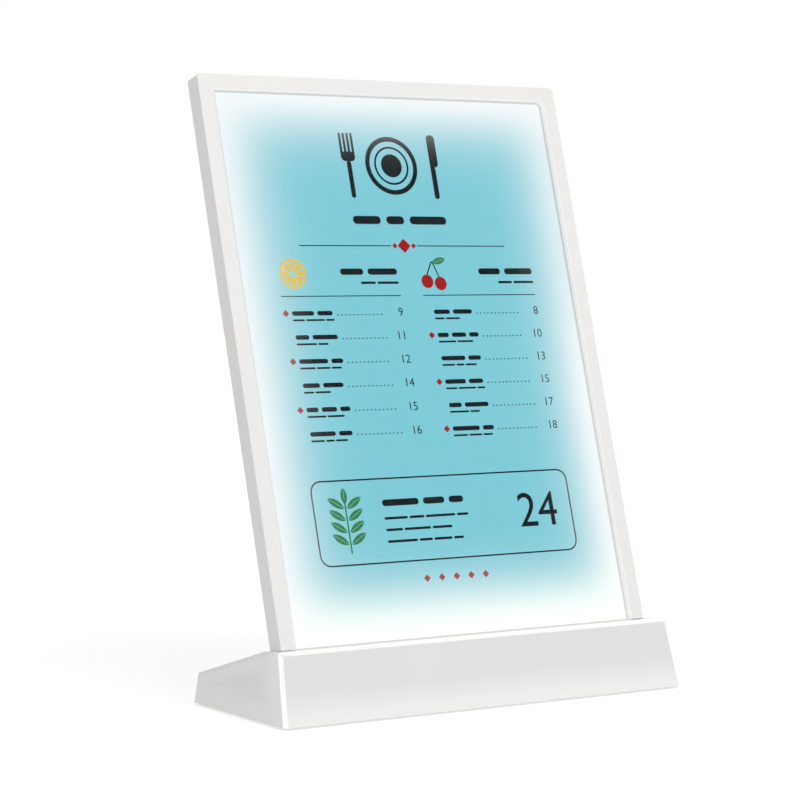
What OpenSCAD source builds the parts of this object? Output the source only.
// Tabletop menu light box: a slim edge-lit panel that leans back in the slot of a wedge-shaped base.
// The panel lifts out of the base, its magnetic front cover pulls off to change the printed sheet,
// and a push button on the rear of the base switches it. Millimetres, +Z up, front towards -Y.
// The origin is on the table, below the centre of the object's footprint.

/* [Menu sheet] */
// Width of the printed sheet
sheet_w = 210; // [190:1:230]
// Height of the printed sheet
sheet_h = 297; // [260:1:330]
// Thickness of the printed sheet
sheet_t = 0.3; // [0.2:0.05:0.5]
// Play between the sheet's edges and the tray
sheet_play = 0.5; // [0.3:0.1:1]

/* [Light panel] */
// Angle by which the panel leans back from upright
lean = 16.5; // [14:0.5:19]
// Width of the tray's rim
rim_w = 5.5; // [5:0.25:7]
// Radius of the panel's outer corners
corner_r = 2; // [1:0.5:4]
// Floor thickness of the tray
back_t = 2.2; // [1.8:0.1:3]
// Depth of the moulded field on the tray's back
field_depth = 0.4; // [0.2:0.1:0.6]
// Border round the moulded field
field_margin = 14; // [8:1:30]
// Air between neighbouring layers
layer_gap = 0.1; // [0.05:0.05:0.2]
// Thickness of the reflector film
reflector_t = 0.3; // [0.2:0.1:0.5]
// Thickness of the light guide
guide_t = 2.5; // [2:0.25:4]
// Thickness of the diffuser
diffuser_t = 1; // [0.5:0.25:2]

/* [Front cover] */
// Thickness of the front frame
bezel_t = 4; // [3:0.25:5]
// How far the front frame covers the sheet's edges
bezel_lap = 2; // [1:0.5:4]
// Radius of the window's upper corners
window_r = 3; // [1:0.5:6]
// Thickness of the clear window
pane_t = 1; // [0.75:0.25:2]
// How far the clear window reaches behind the frame
pane_lap = 2; // [1:0.25:2]
// Play round the clear window in its rebate
pane_play = 0.1; // [0.05:0.05:0.3]
// Gap between the cover's lower end and the fixed bottom rail
cover_gap = 0.3; // [0.2:0.1:0.6]

/* [Magnets] */
// Diameter of the magnets and of their steel keepers
magnet_d = 3; // [2:0.5:3.5]
// Height of a magnet
magnet_h = 2; // [1:0.5:3]
// Height of a keeper disc
keeper_h = 1; // [0.5:0.25:1.25]
// Distance of the end magnets from the cover's ends
magnet_end = 22; // [12:1:40]
// Radial play of a disc glued into its pocket
disc_play = 0.05; // [0.02:0.01:0.1]
// Width of the finger notch in the tray's top edge
notch_w = 26; // [16:1:40]
// Depth of the finger notch
notch_depth = 1.2; // [0.6:0.2:2]

/* [Lighting] */
// Thickness of the light strips
strip_t = 1; // [0.6:0.1:1.4]
// Length of a light chip
chip_l = 3.5; // [2:0.5:5]
// Width of a light chip
chip_w = 2.4; // [1.6:0.2:2.8]
// Thickness of a light chip
chip_t = 0.8; // [0.5:0.1:1.2]
// Distance between light chips
chip_pitch = 15; // [10:1:25]
// Air between the chips and the light guide
chip_gap = 0.4; // [0.2:0.1:0.8]
// Gap between two strips at a corner
link_gap = 0.6; // [0.4:0.1:0.9]
// Length of a solder link along its strip
link_w = 0.6; // [0.4:0.1:0.9]

/* [Base] */
// Depth of the base on the table
base_d = 92.5; // [88:0.5:110]
// Height of the front lip above the base's underside
lip_h = 35.8; // [33:0.2:40]
// Height of the rear top edge above the base's underside
rear_h = 15.7; // [15:0.1:18]
// Backward lean of the front face
front_lean = 15.2; // [13:0.2:16.4]
// Forward lean of the rear face
rear_lean = 9.5; // [5:0.5:12]
// Inward lean of the two side faces
side_draft = 4.25; // [1:0.25:6]
// Base width left of the panel, at the height of the lip
margin_left = 2.4; // [2.2:0.2:20]
// Base width right of the panel, at the height of the lip
margin_right = 13.2; // [2.2:0.2:20]
// Thickness of the lip in front of the panel
lip_t = 2.4; // [2:0.1:4]
// Drop of the top face from the lip to the back of the slot
top_drop = 1.2; // [0.5:0.1:2]
// Wall thickness of the base
wall = 2.4; // [2:0.1:3]
// Width of the flat bands along the upper edges of the base's front face
edge_band = 2.2; // [1:0.1:2.3]
// Thickness of the bottom plate
plate_t = 2.4; // [2:0.1:2.6]
// Play between the bottom plate and the base's walls
plate_play = 0.3; // [0.2:0.1:0.6]

/* [Slot] */
// How deep the panel stands in the base, measured along the panel
slot_depth = 12; // [10:0.5:14]
// Play in front of the panel and at its ends
slot_play = 0.2; // [0.15:0.05:0.3]
// Room behind the panel for the pads
slot_back = 1; // [0.8:0.1:1.5]
// Thickness of the slot's floor
floor_t = 2; // [1.5:0.25:3]
// Air between the pads and the panel's back
pad_gap = 0.2; // [0.15:0.05:0.3]
// Length of a slot pad
pad_l = 30; // [15:1:50]
// Height of a slot pad along the panel
pad_h = 7; // [4:0.5:8]
// Distance between slot pads
pad_pitch = 80; // [60:1:90]

/* [Panel connector] */
// Diameter of the plug on the panel's lower edge
plug_d = 4; // [3:0.25:4.5]
// Length of the plug below the panel
plug_l = 8; // [5:0.5:9]
// Diameter of the jack's centre pin
pin_d = 1.6; // [1:0.1:1.8]
// Radial play of the plug in the jack and on the pin
plug_play = 0.1; // [0.05:0.01:0.15]
// Width of the jack's body
jack_w = 9; // [8:0.5:14]
// Thickness of the jack's body
jack_t = 8; // [7.5:0.25:8.5]
// Closed end of the jack below the plug
jack_end = 2; // [1:0.5:3]
// Diameter of the jack's collar in the slot's floor
collar_d = 7; // [6:0.25:7.25]

/* [Feet and screws] */
// Diameter of a rubber foot
foot_d = 12; // [8:1:16]
// How far the feet stand out of the bottom plate
foot_proud = 1; // [0.6:0.1:2]
// How deep the feet are let into the bottom plate
foot_sunk = 1; // [0.5:0.1:1.4]
// Distance of a foot's centre from the plate's edges
foot_inset = 11; // [9:0.5:16]
// Distance between a foot and its neighbouring screw
screw_offset = 20; // [15:1:30]
// Diameter of a plate screw's shank
screw_d = 3; // [2.5:0.1:3.5]
// Length of a plate screw below its head
screw_l = 9; // [7:0.5:10]
// Diameter of a plate screw's head
head_d = 5.6; // [5:0.1:7]
// Height of a plate screw's head
head_h = 1.2; // [0.8:0.1:1.4]
// Wall of a screw boss round its hole
boss_wall = 2; // [1.5:0.25:3]
// Radial play of a screw in its hole
screw_play = 0.05; // [0.02:0.01:0.1]
// Diameter of the small screws of the rail and the board
small_d = 2; // [1.6:0.1:2.2]
// Diameter of a small screw's head
small_head_d = 3.6; // [3:0.1:4]
// Height of a small screw's head
small_head_h = 1.2; // [0.8:0.1:1.5]
// Length of a small screw below its head
small_l = 5.5; // [4:0.5:6]
// Free depth beyond a screw's tip
screw_tip = 1; // [0.5:0.25:1.5]
// Distance between the rail's screws
rail_pitch = 60; // [40:1:70]

/* [Battery] */
// Diameter of a battery cell
cell_d = 18.4; // [14:0.1:19]
// Length of a battery cell, with its button
cell_l = 65; // [50:0.5:70]
// Diameter of a cell's positive button
nub_d = 6; // [4:0.5:8]
// Height of a cell's positive button
nub_h = 1; // [0.5:0.25:1.5]
// Thickness of a battery contact
contact_t = 0.5; // [0.3:0.1:0.8]
// Side of a square battery contact
contact_w = 10; // [6:0.5:12]
// Radial play of the cells in their cradle
cell_play = 0.3; // [0.2:0.1:0.6]
// Side and end walls of the cradle
cradle_wall = 1.8; // [1.2:0.1:2.5]
// Floor of the cradle under the cells
cradle_floor = 1.2; // [0.8:0.1:2]
// Room between the slot's rear wall and the cradle
cradle_gap = 4; // [2:0.5:6]

/* [Rear ports] */
// Height of the ports above the base's underside
port_z = 8.7; // [8:0.1:9.5]
// Width of the flat recess round the ports
recess_w = 60; // [54:1:80]
// Height of the flat recess
recess_h = 9.6; // [8.6:0.2:10]
// Corner radius of the flat recess
recess_r = 3; // [1:0.5:4]
// Least depth of the flat recess
recess_min = 0.6; // [0.3:0.1:1.2]
// Distance of the power button from the charging socket
button_x = 18; // [14:0.5:22]
// Distance of the indicator from the charging socket
indicator_x = 14; // [10:0.5:20]
// Diameter of the power button
button_d = 6; // [4.5:0.25:6.5]
// Radial play of the button in its hole
button_play = 0.1; // [0.05:0.01:0.1]
// How far the button stands out of the recess
button_proud = 1.2; // [1:0.1:2]
// Width of the flange that keeps the button in
flange_w = 0.8; // [0.5:0.1:1.2]
// Thickness of the button's flange
flange_t = 1; // [0.6:0.1:1.5]
// Travel of the button
button_travel = 1; // [0.5:0.1:1]
// Diameter of the switch's plunger
plunger_d = 3.4; // [2:0.2:4]
// How deep the plunger stands in the switch body
plunger_reach = 1.4; // [1:0.1:2]
// Side of the square switch body
switch_w = 6; // [5:0.5:8]
// Height of the switch body above the board
switch_h = 3.5; // [3:0.25:4]
// Diameter of the indicator's light pipe
pipe_d = 3; // [2:0.25:4]
// Side of the square indicator light
lamp_w = 2; // [1:0.2:3]
// Height of the indicator light above the board
lamp_h = 1.2; // [0.6:0.2:2]
// Outside width of the charging socket
socket_w = 9; // [8.5:0.1:10]
// Outside height of the charging socket
socket_h = 3.3; // [3:0.1:4]
// Sheet thickness of the charging socket
socket_wall = 0.3; // [0.2:0.05:0.5]
// Play round the charging socket in its hole
socket_play = 0.15; // [0.1:0.05:0.3]
// Thickness of the charging socket's closed end
socket_end = 1.2; // [0.8:0.1:2]
// Width of the tongue in the charging socket
tongue_w = 6.6; // [6:0.1:7]
// Thickness of the tongue
tongue_t = 0.7; // [0.5:0.1:1]
// How far the tongue stays behind the socket's mouth
tongue_back = 1.2; // [0.6:0.1:2]

/* [Control board] */
// Width of the control board
board_w = 66; // [62:1:80]
// Height of the control board
board_h = 11; // [9:0.5:11.5]
// Thickness of the control board
board_t = 1.6; // [1:0.2:2]
// Distance from the rear wall's pad to the board
standoff = 6; // [5.5:0.25:8]
// Diameter of the board's posts
post_d = 5; // [4:0.25:6]
// Distance of a post from the board's end
post_inset = 4; // [3:0.25:6]
// Side of the square driver chip
driver_w = 7; // [5:0.5:8]
// Height of the driver chip on the board
driver_h = 2.5; // [1:0.25:4]
// Side of the square coil
coil_w = 6; // [4:0.5:8]
// Height of the coil on the board
coil_h = 3; // [2:0.25:5]
// Diameter of the capacitor can
can_d = 5; // [4:0.5:6]
// Height of the capacitor can on the board
can_h = 6; // [4:0.5:8]
// Distance from the driver chip to the coil and to the can
part_pitch = 22; // [20:0.5:23]
// Diameter of the inner leads
lead_d = 1.4; // [1:0.1:1.8]
// Room between the inner leads and what they pass
lead_room = 4; // [3:0.5:6]
// Height of the leads' joints above and below the board's middle
lead_level = 2; // [1:0.25:3]

/* [Hidden] */
$fn = 64;
far = 600;
proud_cut = 1;
lead_sides = 8;

// The panel, in its own frame: x across, y up the panel from its lower edge, z out of its front face
panel_w = sheet_w + 2 * (sheet_play + rim_w);
panel_h = sheet_h + 2 * (sheet_play + rim_w);
bezel_w = rim_w + sheet_play + bezel_lap;
sheet_z = -bezel_t - layer_gap - sheet_t;
diffuser_z = sheet_z - layer_gap - diffuser_t;
guide_z = diffuser_z - layer_gap - guide_t;
reflector_z = guide_z - layer_gap - reflector_t;
tray_floor_z = reflector_z - layer_gap;
panel_t = back_t - tray_floor_z;
cavity_w = panel_w - 2 * rim_w;
cavity_h = panel_h - 2 * rim_w;
strip_w = guide_z + guide_t - tray_floor_z;
guide_inset = strip_t + chip_t + chip_gap;
guide_w = cavity_w - 2 * guide_inset;
guide_h = cavity_h - 2 * guide_inset;
window_w = panel_w - 2 * bezel_w;
window_top = panel_h - bezel_w;
cover_foot = slot_depth + cover_gap;
pane_w = window_w + 2 * pane_lap;
pane_h = window_top + pane_lap - cover_foot;
plug_z = -(bezel_t + panel_t) / 2;
rim_mid = rim_w / 2;
magnet_side = panel_w / 2 - rim_mid;
magnet_rows = [cover_foot + magnet_end, (cover_foot + panel_h) / 2, panel_h - magnet_end];
magnet_spots = concat(
    [for (side = [-1, 1], row = magnet_rows) [side * magnet_side, row]],
    [for (side = [-1, 1]) [side * panel_w / 4, panel_h - rim_mid]]
);
rail_screw_x = [for (i = [-1.5 : 1 : 1.5]) i * rail_pitch];

// The base's outer faces, by height above its underside
base_half = (panel_w + margin_left + margin_right) / 2 + lip_h * tan(side_draft);
panel_x = (margin_left - margin_right) / 2;
function front_y(z) = z * tan(front_lean);
function rear_y(z) = base_d - z * tan(rear_lean);
function side_x(z) = base_half - z * tan(side_draft);
function front_in(z) = front_y(z) + wall / cos(front_lean);
function rear_in(z) = rear_y(z) - wall / cos(rear_lean);
function side_in(z) = side_x(z) - wall / cos(side_draft);

// Where the panel's lower front edge stands in the slot, and where a point of the panel's frame then is
foot_y = front_y(lip_h) + lip_t + slot_play - slot_depth * sin(lean);
foot_z = lip_h - slot_depth * cos(lean);
function panel_to_y(up, out) = foot_y + up * sin(lean) - out * cos(lean);
function panel_to_z(up, out) = foot_z + up * cos(lean) + out * sin(lean);
slot_t = panel_t + slot_back;
top_z = lip_h - top_drop;
slot_rise = (top_z - foot_z + slot_t * sin(lean)) / cos(lean);
slot_rear_y = panel_to_y(slot_rise, -slot_t);

// The object's depth from the base's front edge, which sets the origin
overall_d = max(base_d, panel_to_y(panel_h, -panel_t));

// The base's outline from the side, drawn past its underside so that its hollow opens downwards
under = 3 * wall;
side_profile = [
    [front_y(-under), -under],
    [rear_y(-under), -under],
    [rear_y(rear_h), rear_h],
    [slot_rear_y, top_z],
    [front_y(lip_h), lip_h]
];
front_normal = [0, -cos(front_lean), sin(front_lean)];
lip_normal = unit([0, lip_h - top_z, slot_rear_y - front_y(lip_h)]);

// Bottom plate, feet and screws
plate_x = side_in(plate_t) - plate_play;
plate_front = front_in(plate_t) + plate_play;
plate_rear = rear_in(plate_t) - plate_play;
foot_x = plate_x - foot_inset;
spot_rows = [plate_front + foot_inset, plate_rear - foot_inset];
foot_spots = [for (x = [-foot_x, foot_x], y = spot_rows) [x, y]];
screw_x = foot_x - screw_offset;
screw_spots = [for (x = [-screw_x, screw_x], y = spot_rows) [x, y]];
boss_d = screw_d + 2 * (screw_play + boss_wall);

// Battery
pack_half = cell_l + 1.5 * contact_t;
cradle_half = cell_d / 2 + cell_play + cradle_wall;
battery_y = slot_rear_y + wall + cradle_gap + cradle_half;
battery_z = plate_t + cradle_floor + cell_play + cell_d / 2;

// Rear ports and control board
port_y = rear_y(port_z + recess_h / 2) - recess_min;
pad_y = port_y - wall;
board_y = pad_y - standoff;
board_front = board_y - board_t;
post_x = board_w / 2 - post_inset;
post_hole_y = board_front + small_l + screw_tip;
socket_round = 0.45;

// Routes of the inner leads, round the ends of the battery to the board
lead_split = 2 * lead_d;
lead_out = pack_half + cradle_wall + lead_room;
lead_row_y = battery_y + cradle_half + lead_room;
jack_mid = -floor_t - (plug_l + jack_end) / 2;
jack_back = plug_z - jack_t / 2;
jack_lead_z = panel_to_z(jack_mid, jack_back);
jack_lead_y = panel_to_y(jack_mid, jack_back) + lead_d / 2 * tan(lean);

// Frames
module at_base() {
    translate([0, -overall_d / 2, foot_proud]) children();
}

module in_panel() {
    at_base() translate([panel_x, foot_y, foot_z]) rotate([90 - lean, 0, 0]) children();
}

// Flat shapes and helpers
function unit(v) = v / norm(v);
function inward(a, b) = let (d = unit(b - a)) [-d[1], d[0]];
function meet(p, d, q, e) = p + d * (((q - p)[0] * e[1] - (q - p)[1] * e[0]) / (d[0] * e[1] - d[1] * e[0]));
function inset_corner(a, b, c, r) = meet(a + r * inward(a, b), b - a, b + r * inward(b, c), c - b);
function inset(points, r) = let (n = len(points)) [
    for (i = [0 : n - 1]) inset_corner(points[(i + n - 1) % n], points[i], points[(i + 1) % n], r)
];

// A rectangle with round corners, centred on x, with its lower edge at y = 0
module round_rect(w, h, r) {
    translate([r - w / 2, 0]) square([w - 2 * r, h]);
    translate([-w / 2, r]) square([w, h - 2 * r]);
    for (x = [r - w / 2, w / 2 - r], y = [r, h - r]) translate([x, y]) circle(r);
}

// A slab of the panel between two depths, standing on the panel's lower edge at y
module layer(w, h, y, z, t) {
    translate([-w / 2, y, z]) cube([w, h, t]);
}

// A round bar along +Y from y0 to y1
module bar_y(d, y0, y1) {
    translate([0, y0, 0]) rotate([-90, 0, 0]) cylinder(d = d, h = y1 - y0);
}

// A flat shape drawn in x and z, drawn out along +Y from y0 to y1
module reach_y(y0, y1) {
    translate([0, y1, 0]) rotate([90, 0, 0]) linear_extrude(y1 - y0) children();
}

// A round lead along a route, with mitred bends
function slide_ring(ring, dir, point, normal) = [
    for (v = ring) v + dir * (((point - v) * normal) / (dir * normal))
];
function heading(path, i) = unit(path[i + 1] - path[i]);
function next_heading(path, i) = i == len(path) - 1 ? heading(path, i - 1) : heading(path, i);
function rings_after(path, ring, i) = i == len(path) ? [] :
    let (dir = heading(path, i - 1))
    let (placed = slide_ring(ring, dir, path[i], dir + next_heading(path, i)))
    concat([placed], rings_after(path, placed, i + 1));
function first_ring(path, d) =
    let (dir = heading(path, 0))
    let (across = unit(cross(dir, abs(dir[2]) < 0.9 ? [0, 0, 1] : [1, 0, 0])))
    let (over = cross(dir, across))
    [for (k = [0 : lead_sides - 1])
        path[0] + d / 2 * (across * cos(k * 360 / lead_sides) + over * sin(k * 360 / lead_sides))];

module lead(path) {
    start = first_ring(path, lead_d);
    rings = concat([start], rings_after(path, start, 1));
    n = lead_sides;
    last = (len(rings) - 1) * n;
    sides = [for (i = [0 : len(rings) - 2], k = [0 : n - 1])
        let (a = i * n + k, b = i * n + (k + 1) % n) each [[a, a + n, b], [b, a + n, b + n]]];
    caps = [for (k = [1 : n - 2]) each [[0, k, k + 1], [last, last + k + 1, last + k]]];
    polyhedron([for (ring = rings) each ring], concat(sides, caps));
}

// Base: the wedge of its outer faces, each moved inwards by d
module wedge(d) {
    low_x = side_x(-under) - d / cos(side_draft);
    high_x = side_x(lip_h) - d / cos(side_draft);
    intersection() {
        rotate([90, 0, 90]) translate([0, 0, -far / 2]) linear_extrude(far)
            polygon(inset(side_profile, d));
        reach_y(-far / 2, far / 2)
            polygon([[-low_x, -under], [low_x, -under], [high_x, lip_h], [-high_x, lip_h]]);
    }
}

// All that lies beyond a flat cut along the edge between the front face and another face
module beyond_band(edge, normal) {
    cut = unit(front_normal + normal);
    depth = edge_band * norm(front_normal - normal) / 2;
    translate(edge - depth * cut) rotate([0, acos(cut[2]), atan2(cut[1], cut[0])])
        translate([-far / 2, -far / 2, 0]) cube(far);
}

module base_form() {
    difference() {
        wedge(0);
        beyond_band([0, front_y(lip_h), lip_h], lip_normal);
        for (side = [-1, 1]) {
            beyond_band([side * base_half, 0, 0], [side * cos(side_draft), 0, sin(side_draft)]);
        }
    }
}

module slot_block() {
    translate([-panel_w / 2 - slot_play - wall, -floor_t, -slot_t - wall])
        cube([panel_w + 2 * (slot_play + wall), slot_depth + far / 10, slot_t + slot_play + 2 * wall]);
}

module slot_cut() {
    translate([-panel_w / 2 - slot_play, 0, -slot_t])
        cube([panel_w + 2 * slot_play, slot_depth + far / 10, slot_t + slot_play]);
}

module base_shell() {
    color("whitesmoke") difference() {
        at_base() intersection() {
            base_form();
            union() {
                difference() {
                    translate([-far / 2, -far / 2, 0]) cube(far);
                    wedge(wall);
                }
                translate([panel_x, foot_y, foot_z]) rotate([90 - lean, 0, 0]) slot_block();
                for (spot = screw_spots) {
                    translate([spot[0], spot[1], plate_t]) cylinder(d = boss_d, h = lip_h);
                }
                translate([-recess_w / 2 - wall, pad_y, plate_t + plate_play])
                    cube([recess_w + 2 * wall, base_d - pad_y, lip_h]);
                for (side = [-1, 1]) {
                    translate([side * post_x, 0, port_z]) bar_y(post_d, board_y, pad_y);
                }
            }
        }
        in_panel() slot_cut();
        in_panel() translate([0, 0, plug_z])
            bar_y(collar_d + 2 * disc_play, -floor_t - proud_cut, proud_cut);
        at_base() {
            for (spot = screw_spots) {
                translate([spot[0], spot[1], 0])
                    cylinder(d = screw_d + 2 * screw_play, h = head_h + screw_l + screw_tip);
            }
            translate([0, 0, port_z - recess_h / 2]) reach_y(port_y, base_d + proud_cut)
                round_rect(recess_w, recess_h, recess_r);
            translate([0, 0, port_z]) {
                translate([button_x, 0, 0]) bar_y(button_d + 2 * button_play, pad_y - proud_cut, base_d);
                translate([-indicator_x, 0, 0]) bar_y(pipe_d + 2 * disc_play, pad_y - proud_cut, base_d);
                reach_y(pad_y - proud_cut, base_d) socket_outline(socket_play);
                for (side = [-1, 1]) {
                    translate([side * post_x, 0, 0])
                        bar_y(small_d + 2 * screw_play, board_y - proud_cut, post_hole_y);
                }
            }
        }
    }
}

module bottom_plate() {
    color("gainsboro") at_base() difference() {
        translate([-plate_x, plate_front, 0]) cube([2 * plate_x, plate_rear - plate_front, plate_t]);
        for (spot = foot_spots) {
            translate([spot[0], spot[1], -proud_cut])
                cylinder(d = foot_d + 2 * disc_play, h = foot_sunk + proud_cut);
        }
        for (spot = screw_spots) {
            translate([spot[0], spot[1], -proud_cut]) {
                cylinder(d = head_d + 2 * screw_play, h = head_h + proud_cut);
                cylinder(d = screw_d + 2 * screw_play, h = plate_t + 2 * proud_cut);
            }
        }
    }
}

module plate_screws() {
    color("silver") at_base() for (spot = screw_spots) {
        translate([spot[0], spot[1], 0]) {
            cylinder(d = head_d, h = head_h);
            cylinder(d = screw_d, h = head_h + screw_l);
        }
    }
}

module rubber_feet() {
    color("dimgray") at_base() for (spot = foot_spots) {
        translate([spot[0], spot[1], -foot_proud]) cylinder(d = foot_d, h = foot_proud + foot_sunk);
    }
}

// Battery
module along_battery() {
    at_base() translate([0, battery_y, battery_z]) rotate([0, 90, 0]) children();
}

module battery_cradle() {
    color("darkslategray") difference() {
        at_base() translate([-pack_half - cradle_wall, battery_y - cradle_half, plate_t])
            cube([2 * (pack_half + cradle_wall), 2 * cradle_half, battery_z - plate_t]);
        along_battery() translate([0, 0, -pack_half])
            cylinder(d = cell_d + 2 * cell_play, h = 2 * pack_half);
    }
}

module battery_cells() {
    color("steelblue") along_battery() for (start = [contact_t / 2, -cell_l - contact_t / 2]) {
        translate([0, 0, start]) {
            cylinder(d = cell_d, h = cell_l - nub_h);
            cylinder(d = nub_d, h = cell_l);
        }
    }
}

module battery_contacts() {
    color("silver") along_battery() for (i = [-1 : 1]) {
        translate([-contact_w / 2, -contact_w / 2, i * (cell_l + contact_t) - contact_t / 2])
            cube([contact_w, contact_w, contact_t]);
    }
}

module battery_leads() {
    color("firebrick") at_base() for (side = [-1, 1]) {
        z = battery_z + contact_w / 4 + lead_d / 2;
        lead([
            [side * pack_half, battery_y, z],
            [side * lead_out, battery_y, z],
            [side * lead_out, lead_row_y, port_z + lead_level],
            [side * post_x / 2, lead_row_y, port_z + lead_level],
            [side * post_x / 2, board_front, port_z + lead_level]
        ]);
    }
}

// Control board and ports
module socket_outline(grow) {
    w = socket_w + 2 * grow;
    h = socket_h + 2 * grow;
    translate([0, -h / 2]) round_rect(w, h, socket_round * h);
}

module control_board() {
    color("darkgreen") at_base() translate([0, 0, port_z]) difference() {
        translate([-board_w / 2, board_front, -board_h / 2]) cube([board_w, board_t, board_h]);
        for (side = [-1, 1]) {
            translate([side * post_x, 0, 0])
                bar_y(small_d + 2 * screw_play, board_front - proud_cut, board_y + proud_cut);
        }
    }
}

// A square part on the board's front face
module board_block(x, w, h) {
    translate([x - w / 2, board_front - h, -w / 2]) cube([w, h, w]);
}

module driver_parts() {
    color("black") at_base() translate([0, 0, port_z]) {
        board_block(0, driver_w, driver_h);
        board_block(-part_pitch, coil_w, coil_h);
        translate([part_pitch, 0, 0]) bar_y(can_d, board_front - can_h, board_front);
    }
}

module board_screws() {
    color("silver") at_base() translate([0, 0, port_z]) for (side = [-1, 1]) {
        translate([side * post_x, 0, 0]) {
            bar_y(small_head_d, board_front - small_head_h, board_front);
            bar_y(small_d, board_front - small_head_h, board_front + small_l);
        }
    }
}

module charge_socket() {
    color("silver") at_base() translate([0, 0, port_z]) difference() {
        reach_y(board_y, port_y) socket_outline(0);
        reach_y(board_y + socket_end, port_y + proud_cut) socket_outline(-socket_wall);
    }
}

module socket_tongue() {
    color("black") at_base()
        translate([-tongue_w / 2, board_y + socket_end, port_z - tongue_t / 2])
        cube([tongue_w, port_y - tongue_back - board_y - socket_end, tongue_t]);
}

module tact_switch() {
    color("dimgray") at_base() translate([button_x, 0, port_z]) difference() {
        translate([-switch_w / 2, board_y, -switch_w / 2]) cube([switch_w, switch_h, switch_w]);
        bar_y(plunger_d + 2 * button_play, board_y + switch_h - plunger_reach - button_travel,
            board_y + switch_h + proud_cut);
    }
}

module indicator_led() {
    color("ivory") at_base() translate([-indicator_x - lamp_w / 2, board_y, port_z - lamp_w / 2])
        cube([lamp_w, lamp_h, lamp_w]);
}

module indicator_light() {
    color("lightcyan") at_base() translate([-indicator_x, 0, port_z])
        bar_y(pipe_d, board_y + lamp_h, port_y);
}

module button_cap() {
    color("lightgray") at_base() translate([button_x, 0, port_z]) {
        bar_y(button_d, pad_y - flange_t, port_y + button_proud);
        bar_y(button_d + 2 * (button_play + flange_w), pad_y - flange_t, pad_y);
    }
}

module switch_plunger() {
    color("black") at_base() translate([button_x, 0, port_z])
        bar_y(plunger_d, board_y + switch_h - plunger_reach + button_play, pad_y - flange_t);
}

// Panel connector and slot
module panel_jack() {
    color("dimgray") in_panel() translate([0, 0, plug_z]) difference() {
        union() {
            translate([-jack_w / 2, -floor_t - plug_l - jack_end, -jack_t / 2])
                cube([jack_w, plug_l + jack_end, jack_t]);
            bar_y(collar_d, -floor_t, -disc_play);
        }
        bar_y(plug_d + 2 * plug_play, -plug_l - plug_play, proud_cut);
    }
}

module jack_pin() {
    color("gold") in_panel() translate([0, 0, plug_z]) bar_y(pin_d, -plug_l - plug_play, -floor_t);
}

module jack_leads() {
    color("black") at_base() for (i = [0, 1]) {
        shift = i * lead_split;
        start_x = panel_x - lead_d + shift;
        turn_y = jack_lead_y + lead_room + shift;
        lane_x = -lead_out - 2 * lead_split + shift;
        row_y = lead_row_y + 2 * lead_split - shift;
        end_x = -post_x / 3 - lead_split + shift;
        lead([
            [start_x, jack_lead_y, jack_lead_z],
            [start_x, turn_y, jack_lead_z],
            [lane_x, turn_y, jack_lead_z],
            [lane_x, row_y, jack_lead_z],
            [end_x, row_y, port_z - lead_level],
            [end_x, board_front, port_z - lead_level]
        ]);
    }
}

module slot_pads() {
    color("dimgray") in_panel() for (i = [-1 : 1]) {
        translate([i * pad_pitch - pad_l / 2, (slot_depth - pad_h) / 2, -slot_t])
            cube([pad_l, pad_h, slot_back - pad_gap]);
    }
}

// Light panel
module panel_outline() {
    round_rect(panel_w, panel_h, corner_r);
}

module rail_bores(z0, z1) {
    for (x = rail_screw_x) {
        translate([x, rim_mid, z0]) cylinder(d = small_d + 2 * screw_play, h = z1 - z0);
    }
}

module back_shell() {
    color("whitesmoke") in_panel() difference() {
        translate([0, 0, -panel_t]) linear_extrude(panel_t - bezel_t) panel_outline();
        layer(cavity_w, cavity_h, rim_w, tray_floor_z, panel_t);
        translate([0, field_margin, -panel_t - proud_cut]) linear_extrude(field_depth + proud_cut)
            round_rect(panel_w - 2 * field_margin, panel_h - 2 * field_margin, corner_r);
        for (spot = magnet_spots) {
            translate([spot[0], spot[1], -bezel_t - magnet_h])
                cylinder(d = magnet_d + 2 * disc_play, h = magnet_h + proud_cut);
        }
        translate([0, 0, plug_z]) bar_y(plug_d + 2 * disc_play, -proud_cut, rim_w + proud_cut);
        rail_bores(-small_head_h - small_l - screw_tip, proud_cut);
        translate([-notch_w / 2, panel_h - notch_depth, -bezel_t - notch_depth])
            cube([notch_w, 2 * notch_depth, 2 * notch_depth]);
    }
}

module bottom_rail() {
    color("whitesmoke") in_panel() difference() {
        translate([0, 0, -bezel_t]) linear_extrude(bezel_t) intersection() {
            panel_outline();
            translate([-panel_w / 2, 0]) square([panel_w, slot_depth]);
        }
        rail_bores(-bezel_t - proud_cut, proud_cut);
        for (x = rail_screw_x) {
            translate([x, rim_mid, -small_head_h])
                cylinder(d = small_head_d + 2 * screw_play, h = small_head_h + proud_cut);
        }
    }
}

module rail_screws() {
    color("silver") in_panel() for (x = rail_screw_x) {
        translate([x, rim_mid, -small_head_h]) {
            cylinder(d = small_head_d, h = small_head_h);
            translate([0, 0, -small_l]) cylinder(d = small_d, h = small_l);
        }
    }
}

module reflector_sheet() {
    color("white") in_panel() layer(guide_w, guide_h, rim_w + guide_inset, reflector_z, reflector_t);
}

module light_guide() {
    color("aliceblue") in_panel() layer(guide_w, guide_h, rim_w + guide_inset, guide_z, guide_t);
}

module diffuser_sheet() {
    color("snow") in_panel()
        layer(sheet_w, sheet_h, rim_w + sheet_play, diffuser_z, diffuser_t);
}

module menu_sheet() {
    color("mediumturquoise") in_panel() layer(sheet_w, sheet_h, rim_w + sheet_play, sheet_z, sheet_t);
}

// A strip and its chips lie along x, facing +y; each side of the panel turns them into place
module strip(length) {
    translate([-length / 2, 0, tray_floor_z]) cube([length, strip_t, strip_w]);
}

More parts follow.
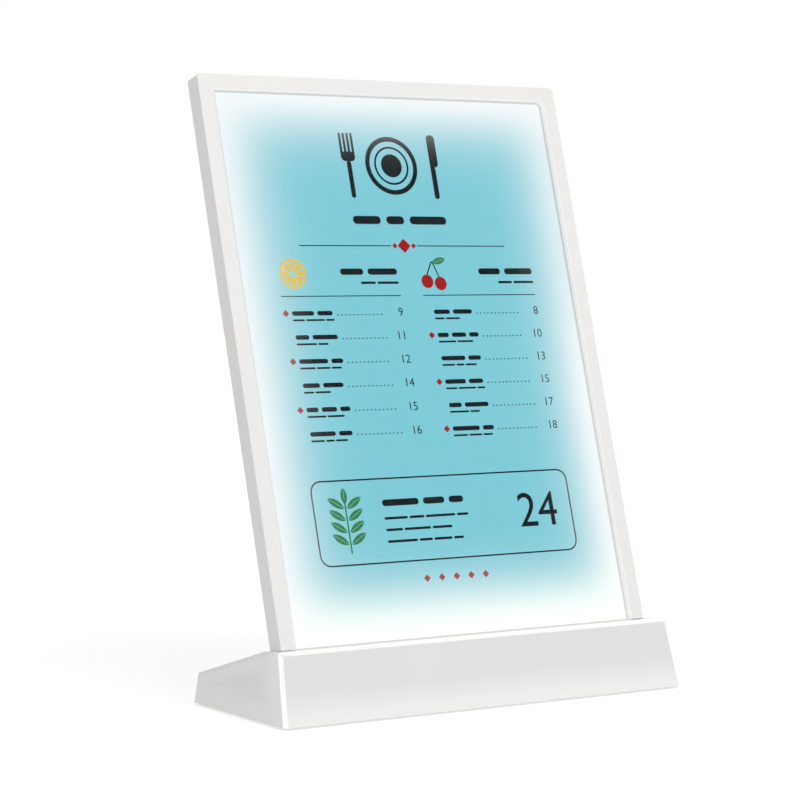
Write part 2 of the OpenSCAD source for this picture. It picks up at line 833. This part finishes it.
module chip_row(length) {
    count = floor((length - 2 * chip_pitch) / chip_pitch);
    chip_z = tray_floor_z + (strip_w - chip_w) / 2;
    for (i = [0 : count]) {
        translate([(i - count / 2) * chip_pitch - chip_l / 2, strip_t, chip_z])
            cube([chip_l, chip_t, chip_w]);
    }
}

upright_l = cavity_h;
level_l = cavity_w - 2 * (strip_t + link_gap);

module at_left() { translate([-cavity_w / 2, panel_h / 2, 0]) rotate(-90) children(); }
module at_right() { translate([cavity_w / 2, panel_h / 2, 0]) rotate(90) children(); }
module at_top() { translate([0, panel_h - rim_w, 0]) rotate(180) children(); }
module at_bottom() { translate([0, rim_w, 0]) children(); }

module led_strip_left() { color("white") in_panel() at_left() strip(upright_l); }
module led_strip_right() { color("white") in_panel() at_right() strip(upright_l); }
module led_strip_top() { color("white") in_panel() at_top() strip(level_l); }
module led_strip_bottom() { color("white") in_panel() at_bottom() strip(level_l); }

module led_chips() {
    color("lemonchiffon") in_panel() {
        at_left() chip_row(upright_l);
        at_right() chip_row(upright_l);
        at_top() chip_row(level_l);
        at_bottom() chip_row(level_l);
    }
}

module strip_links() {
    spots = [[-1, rim_w], [-1, panel_h - rim_w - link_w], [1, panel_h - rim_w - link_w]];
    color("silver") in_panel() for (spot = spots) {
        translate([spot[0] * (level_l + link_gap) / 2 - link_gap / 2, spot[1], tray_floor_z])
            cube([link_gap, link_w, strip_w]);
    }
}

module tray_magnets() {
    color("silver") in_panel() for (spot = magnet_spots) {
        translate([spot[0], spot[1], -bezel_t - magnet_h]) cylinder(d = magnet_d, h = magnet_h);
    }
}

module panel_plug() {
    color("silver") in_panel() translate([0, 0, plug_z]) difference() {
        bar_y(plug_d, -plug_l, rim_w);
        bar_y(pin_d + 2 * plug_play, -plug_l - proud_cut, 0);
    }
}

// Front cover
module front_bezel() {
    color("whitesmoke") in_panel() difference() {
        translate([0, 0, -bezel_t]) linear_extrude(bezel_t) difference() {
            intersection() {
                panel_outline();
                translate([-panel_w / 2, cover_foot]) square([panel_w, panel_h]);
            }
            round_rect(window_w, window_top, window_r);
        }
        translate([0, 0, -bezel_t - proud_cut])
            layer(pane_w + 2 * pane_play, cover_foot + pane_h + pane_play, 0, 0, pane_t + proud_cut);
        for (spot = magnet_spots) {
            translate([spot[0], spot[1], -bezel_t - proud_cut])
                cylinder(d = magnet_d + 2 * disc_play, h = keeper_h + proud_cut);
        }
    }
}

module clear_window() {
    color("lightcyan", 0.4) in_panel() layer(pane_w, pane_h, cover_foot, -bezel_t, pane_t);
}

module keeper_discs() {
    color("silver") in_panel() for (spot = magnet_spots) {
        translate([spot[0], spot[1], -bezel_t]) cylinder(d = magnet_d, h = keeper_h);
    }
}

base_shell();
bottom_plate();
plate_screws();
rubber_feet();
battery_cradle();
battery_cells();
battery_contacts();
battery_leads();
control_board();
driver_parts();
board_screws();
charge_socket();
socket_tongue();
tact_switch();
indicator_led();
indicator_light();
panel_jack();
jack_pin();
jack_leads();
slot_pads();
button_cap();
switch_plunger();
back_shell();
bottom_rail();
rail_screws();
reflector_sheet();
light_guide();
diffuser_sheet();
menu_sheet();
led_strip_left();
led_strip_right();
led_strip_top();
led_strip_bottom();
led_chips();
strip_links();
tray_magnets();
panel_plug();
front_bezel();
clear_window();
keeper_discs();
